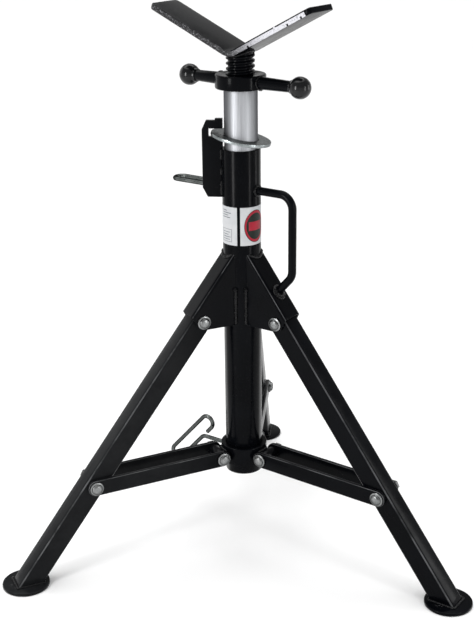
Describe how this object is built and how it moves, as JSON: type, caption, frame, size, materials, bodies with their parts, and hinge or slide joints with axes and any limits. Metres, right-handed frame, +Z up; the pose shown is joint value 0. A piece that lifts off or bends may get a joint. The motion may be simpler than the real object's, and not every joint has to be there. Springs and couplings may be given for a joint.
{
  "type": "folding pipe jack stand",
  "caption": "Folding three-leg stand: a vee head on a screw and pinned sliding post, with a tilting lock ring, folding braced legs and a carry handle.",
  "frame": {"origin": "on the floor at the middle of the footprint of the open stand; the column axis stands 96 mm behind it towards -Y", "axes": "+Z up the column, +Y towards the rear leg, +X to the right as seen from the front (-Y)"},
  "size_m": [0.7432, 0.6538, 0.8912],
  "materials": {
    "black_paint": "glossy black paint on welded steel",
    "zinc_plate": "bright zinc plating",
    "bare_tube": "drawn steel tube, satin",
    "paper_label": "smooth white film",
    "black_knob": "moulded, glossy"
  },
  "bodies": {
    "column": {"outer_column": "black_paint", "ring_plate": "black_paint", "bracket_rear": "black_paint", "bracket_left": "black_paint", "bracket_right": "black_paint", "carry_handle": "black_paint", "label_left": "paper_label", "label_right": "paper_label", "hinge_bolts": "zinc_plate", "hinge_nuts": "zinc_plate"},
    "leg_rear": {"leg_rear": "black_paint", "foot_rear": "black_paint"},
    "leg_left": {"leg_left": "black_paint", "foot_left": "black_paint"},
    "leg_right": {"leg_right": "black_paint", "foot_right": "black_paint"},
    "collar": {"collar_sleeve": "black_paint", "collar_bosses": "black_paint", "collar_bolts": "zinc_plate", "collar_nuts": "zinc_plate"},
    "brace_rear": {"brace_rear_a": "black_paint", "brace_rear_b": "black_paint", "outer_bolt_rear": "zinc_plate"},
    "brace_left": {"brace_left_a": "black_paint", "brace_left_b": "black_paint", "outer_bolt_left": "zinc_plate"},
    "brace_right": {"brace_right_a": "black_paint", "brace_right_b": "black_paint", "outer_bolt_right": "zinc_plate"},
    "inner_tube": {"inner_tube": "bare_tube"},
    "spin_nut": {"spin_nut": "black_paint", "arm_left": "black_paint", "arm_right": "black_paint", "knob_left": "black_knob", "knob_right": "black_knob"},
    "head": {"jack_screw": "black_paint", "vee_plate": "black_paint"},
    "lock_ring": {"lock_ring": "zinc_plate"},
    "upper_pin": {"upper_pin": "zinc_plate"},
    "lower_pin": {"lower_pin": "zinc_plate"}
  },
  "joints": [
    {"name": "fold_rear_leg", "type": "hinge", "parent": "column", "child": "leg_rear", "pos_m": [0, -0.01986, 0.403], "axis": [-1, 0, 0], "range_deg": [0, 37.5]},
    {"name": "fold_left_leg", "type": "hinge", "parent": "column", "child": "leg_left", "pos_m": [-0.06634, -0.13476, 0.403], "axis": [0.5, -0.866, 0], "range_deg": [0, 37.5]},
    {"name": "fold_right_leg", "type": "hinge", "parent": "column", "child": "leg_right", "pos_m": [0.06634, -0.13476, 0.403], "axis": [0.5, 0.866, 0], "range_deg": [0, 37.5]},
    {"name": "collar_slide", "type": "slide", "parent": "column", "child": "collar", "axis": [0, 0, 1], "range_m": [0, 0.14984]},
    {"name": "fold_rear_brace", "type": "hinge", "parent": "collar", "child": "brace_rear", "pos_m": [0, -0.04886, 0.158], "axis": [-1, 0, 0], "range_deg": [0, 81.64]},
    {"name": "fold_left_brace", "type": "hinge", "parent": "collar", "child": "brace_left", "pos_m": [-0.04122, -0.12026, 0.158], "axis": [0.5, -0.866, 0], "range_deg": [0, 81.64]},
    {"name": "fold_right_brace", "type": "hinge", "parent": "collar", "child": "brace_right", "pos_m": [0.04122, -0.12026, 0.158], "axis": [0.5, 0.866, 0], "range_deg": [0, 81.64]},
    {"name": "tube_slide", "type": "slide", "parent": "column", "child": "inner_tube", "axis": [0, 0, 1], "range_m": [-0.045, 0.405]},
    {"name": "nut_spin", "type": "hinge", "parent": "inner_tube", "child": "spin_nut", "pos_m": [0, -0.09646, 0.77325], "axis": [0, 0, 1], "range_deg": [-3600, 900]},
    {"name": "screw_lift", "type": "slide", "parent": "inner_tube", "child": "head", "axis": [0, 0, 1], "range_m": [-0.02, 0.08]},
    {"name": "ring_tilt", "type": "hinge", "parent": "column", "child": "lock_ring", "pos_m": [-0.04467, -0.09646, 0.69434], "axis": [0, -1, 0], "range_deg": [0, 11]},
    {"name": "upper_pin_push", "type": "slide", "parent": "column", "child": "upper_pin", "axis": [0.866, -0.5, 0], "range_m": [0, 0.006]},
    {"name": "lower_pin_push", "type": "slide", "parent": "collar", "child": "lower_pin", "axis": [0.866, -0.5, 0], "range_m": [0, 0.0035]}
  ],
  "couplings": [
    {"joint": "fold_left_leg", "follows": "fold_rear_leg", "ratio": 1},
    {"joint": "fold_right_leg", "follows": "fold_rear_leg", "ratio": 1},
    {"joint": "collar_slide", "follows": "fold_rear_leg", "m_per_rad": 0.22864},
    {"joint": "fold_rear_brace", "follows": "fold_rear_leg", "ratio": 2.1745},
    {"joint": "fold_left_brace", "follows": "fold_rear_leg", "ratio": 2.1745},
    {"joint": "fold_right_brace", "follows": "fold_rear_leg", "ratio": 2.1745},
    {"joint": "screw_lift", "follows": "nut_spin", "m_per_rad": -0.0012732}
  ]
}
